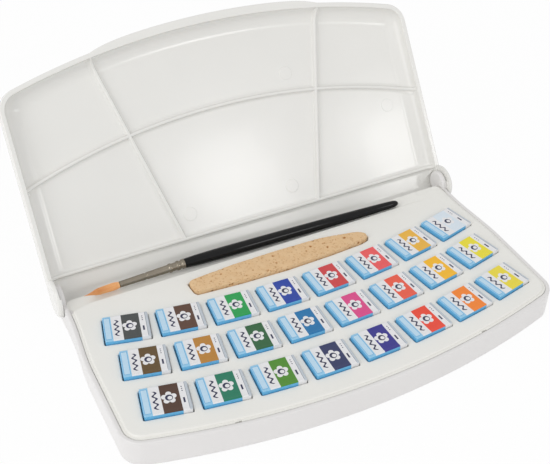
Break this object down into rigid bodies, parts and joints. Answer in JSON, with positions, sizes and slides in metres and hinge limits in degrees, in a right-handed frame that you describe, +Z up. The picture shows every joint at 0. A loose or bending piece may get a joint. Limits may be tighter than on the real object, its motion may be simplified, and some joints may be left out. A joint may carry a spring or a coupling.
{
  "type": "watercolour paint box",
  "caption": "Flat hinged paint box with a bowed front, a palette lid with mixing wells, a lift-out tray of wrapped pans, a round brush and a sponge strip.",
  "frame": {"origin": "middle of the base's flat underside, halfway between the front edge's furthest point and the back wall", "axes": "+X right along the box as seen from its front, +Y back towards the hinge, +Z up"},
  "size_m": [0.222, 0.1874, 0.1095],
  "materials": {
    "white_plastic": "white injection-moulded plastic, smooth satin gloss",
    "lid_plastic": "white injection-moulded plastic, glossy on the palette side",
    "tray_plastic": "white plastic, soft satin",
    "cup_plastic": "white plastic cup with a dry cake of paint",
    "black_lacquer": "turned wood under black gloss lacquer",
    "nickel": "bright nickel-plated tube",
    "orange_hair": "fine orange synthetic hair",
    "sponge_foam": "tan sponge, open pores",
    "pan_01_print": "printed paper wrapper, charcoal band",
    "pan_02_print": "printed paper wrapper, umber brown band",
    "pan_03_print": "printed paper wrapper, green band",
    "pan_04_print": "printed paper wrapper, deep blue band",
    "pan_05_print": "printed paper wrapper, crimson band",
    "pan_06_print": "printed paper wrapper, coral red band",
    "pan_07_print": "printed paper wrapper, orange yellow band",
    "pan_08_print": "printed paper wrapper, white band",
    "pan_09_print": "printed paper wrapper, olive brown band",
    "pan_10_print": "printed paper wrapper, ochre band",
    "pan_11_print": "printed paper wrapper, dark green band",
    "pan_12_print": "printed paper wrapper, sky blue band",
    "pan_13_print": "printed paper wrapper, rose pink band",
    "pan_14_print": "printed paper wrapper, scarlet band",
    "pan_15_print": "printed paper wrapper, warm yellow band",
    "pan_16_print": "printed paper wrapper, lemon yellow band",
    "pan_17_print": "printed paper wrapper, dark brown band",
    "pan_18_print": "printed paper wrapper, viridian green band",
    "pan_19_print": "printed paper wrapper, sap green band",
    "pan_20_print": "printed paper wrapper, indigo band",
    "pan_21_print": "printed paper wrapper, ultramarine band",
    "pan_22_print": "printed paper wrapper, vermilion band",
    "pan_23_print": "printed paper wrapper, orange band",
    "pan_24_print": "printed paper wrapper, pale lemon band"
  },
  "bodies": {
    "base": {"base_shell": "white_plastic"},
    "lid": {"palette_lid": "lid_plastic"},
    "tray": {"pan_tray": "tray_plastic"},
    "brush": {"brush_handle": "black_lacquer", "brush_ferrule": "nickel", "brush_hair": "orange_hair"},
    "sponge_strip": {"sponge": "sponge_foam"},
    "pan_01": {"pan_01_cup": "cup_plastic", "pan_01_wrapper": "pan_01_print"},
    "pan_02": {"pan_02_cup": "cup_plastic", "pan_02_wrapper": "pan_02_print"},
    "pan_03": {"pan_03_cup": "cup_plastic", "pan_03_wrapper": "pan_03_print"},
    "pan_04": {"pan_04_cup": "cup_plastic", "pan_04_wrapper": "pan_04_print"},
    "pan_05": {"pan_05_cup": "cup_plastic", "pan_05_wrapper": "pan_05_print"},
    "pan_06": {"pan_06_cup": "cup_plastic", "pan_06_wrapper": "pan_06_print"},
    "pan_07": {"pan_07_cup": "cup_plastic", "pan_07_wrapper": "pan_07_print"},
    "pan_08": {"pan_08_cup": "cup_plastic", "pan_08_wrapper": "pan_08_print"},
    "pan_09": {"pan_09_cup": "cup_plastic", "pan_09_wrapper": "pan_09_print"},
    "pan_10": {"pan_10_cup": "cup_plastic", "pan_10_wrapper": "pan_10_print"},
    "pan_11": {"pan_11_cup": "cup_plastic", "pan_11_wrapper": "pan_11_print"},
    "pan_12": {"pan_12_cup": "cup_plastic", "pan_12_wrapper": "pan_12_print"},
    "pan_13": {"pan_13_cup": "cup_plastic", "pan_13_wrapper": "pan_13_print"},
    "pan_14": {"pan_14_cup": "cup_plastic", "pan_14_wrapper": "pan_14_print"},
    "pan_15": {"pan_15_cup": "cup_plastic", "pan_15_wrapper": "pan_15_print"},
    "pan_16": {"pan_16_cup": "cup_plastic", "pan_16_wrapper": "pan_16_print"},
    "pan_17": {"pan_17_cup": "cup_plastic", "pan_17_wrapper": "pan_17_print"},
    "pan_18": {"pan_18_cup": "cup_plastic", "pan_18_wrapper": "pan_18_print"},
    "pan_19": {"pan_19_cup": "cup_plastic", "pan_19_wrapper": "pan_19_print"},
    "pan_20": {"pan_20_cup": "cup_plastic", "pan_20_wrapper": "pan_20_print"},
    "pan_21": {"pan_21_cup": "cup_plastic", "pan_21_wrapper": "pan_21_print"},
    "pan_22": {"pan_22_cup": "cup_plastic", "pan_22_wrapper": "pan_22_print"},
    "pan_23": {"pan_23_cup": "cup_plastic", "pan_23_wrapper": "pan_23_print"},
    "pan_24": {"pan_24_cup": "cup_plastic", "pan_24_wrapper": "pan_24_print"}
  },
  "joints": [
    {"name": "lid_hinge", "type": "hinge", "parent": "base", "child": "lid", "pos_m": [0, 0.052, 0.0151], "axis": [-1, 0, 0], "range_deg": [-125.4, 0]},
    {"name": "tray_lift", "type": "slide", "parent": "base", "child": "tray", "axis": [0, 0, 1], "range_m": [0, 0.014]},
    {"name": "brush_lift", "type": "slide", "parent": "tray", "child": "brush", "axis": [0, 0, 1], "range_m": [0, 0.01]},
    {"name": "sponge_lift", "type": "slide", "parent": "tray", "child": "sponge_strip", "axis": [0, 0, 1], "range_m": [0, 0.01]},
    {"name": "pan_01_lift", "type": "slide", "parent": "tray", "child": "pan_01", "axis": [0, 0, 1], "range_m": [0, 0.013]},
    {"name": "pan_02_lift", "type": "slide", "parent": "tray", "child": "pan_02", "axis": [0, 0, 1], "range_m": [0, 0.013]},
    {"name": "pan_03_lift", "type": "slide", "parent": "tray", "child": "pan_03", "axis": [0, 0, 1], "range_m": [0, 0.013]},
    {"name": "pan_04_lift", "type": "slide", "parent": "tray", "child": "pan_04", "axis": [0, 0, 1], "range_m": [0, 0.013]},
    {"name": "pan_05_lift", "type": "slide", "parent": "tray", "child": "pan_05", "axis": [0, 0, 1], "range_m": [0, 0.013]},
    {"name": "pan_06_lift", "type": "slide", "parent": "tray", "child": "pan_06", "axis": [0, 0, 1], "range_m": [0, 0.013]},
    {"name": "pan_07_lift", "type": "slide", "parent": "tray", "child": "pan_07", "axis": [0, 0, 1], "range_m": [0, 0.013]},
    {"name": "pan_08_lift", "type": "slide", "parent": "tray", "child": "pan_08", "axis": [0, 0, 1], "range_m": [0, 0.013]},
    {"name": "pan_09_lift", "type": "slide", "parent": "tray", "child": "pan_09", "axis": [0, 0, 1], "range_m": [0, 0.013]},
    {"name": "pan_10_lift", "type": "slide", "parent": "tray", "child": "pan_10", "axis": [0, 0, 1], "range_m": [0, 0.013]},
    {"name": "pan_11_lift", "type": "slide", "parent": "tray", "child": "pan_11", "axis": [0, 0, 1], "range_m": [0, 0.013]},
    {"name": "pan_12_lift", "type": "slide", "parent": "tray", "child": "pan_12", "axis": [0, 0, 1], "range_m": [0, 0.013]},
    {"name": "pan_13_lift", "type": "slide", "parent": "tray", "child": "pan_13", "axis": [0, 0, 1], "range_m": [0, 0.013]},
    {"name": "pan_14_lift", "type": "slide", "parent": "tray", "child": "pan_14", "axis": [0, 0, 1], "range_m": [0, 0.013]},
    {"name": "pan_15_lift", "type": "slide", "parent": "tray", "child": "pan_15", "axis": [0, 0, 1], "range_m": [0, 0.013]},
    {"name": "pan_16_lift", "type": "slide", "parent": "tray", "child": "pan_16", "axis": [0, 0, 1], "range_m": [0, 0.013]},
    {"name": "pan_17_lift", "type": "slide", "parent": "tray", "child": "pan_17", "axis": [0, 0, 1], "range_m": [0, 0.013]},
    {"name": "pan_18_lift", "type": "slide", "parent": "tray", "child": "pan_18", "axis": [0, 0, 1], "range_m": [0, 0.013]},
    {"name": "pan_19_lift", "type": "slide", "parent": "tray", "child": "pan_19", "axis": [0, 0, 1], "range_m": [0, 0.013]},
    {"name": "pan_20_lift", "type": "slide", "parent": "tray", "child": "pan_20", "axis": [0, 0, 1], "range_m": [0, 0.013]},
    {"name": "pan_21_lift", "type": "slide", "parent": "tray", "child": "pan_21", "axis": [0, 0, 1], "range_m": [0, 0.013]},
    {"name": "pan_22_lift", "type": "slide", "parent": "tray", "child": "pan_22", "axis": [0, 0, 1], "range_m": [0, 0.013]},
    {"name": "pan_23_lift", "type": "slide", "parent": "tray", "child": "pan_23", "axis": [0, 0, 1], "range_m": [0, 0.013]},
    {"name": "pan_24_lift", "type": "slide", "parent": "tray", "child": "pan_24", "axis": [0, 0, 1], "range_m": [0, 0.013]}
  ]
}
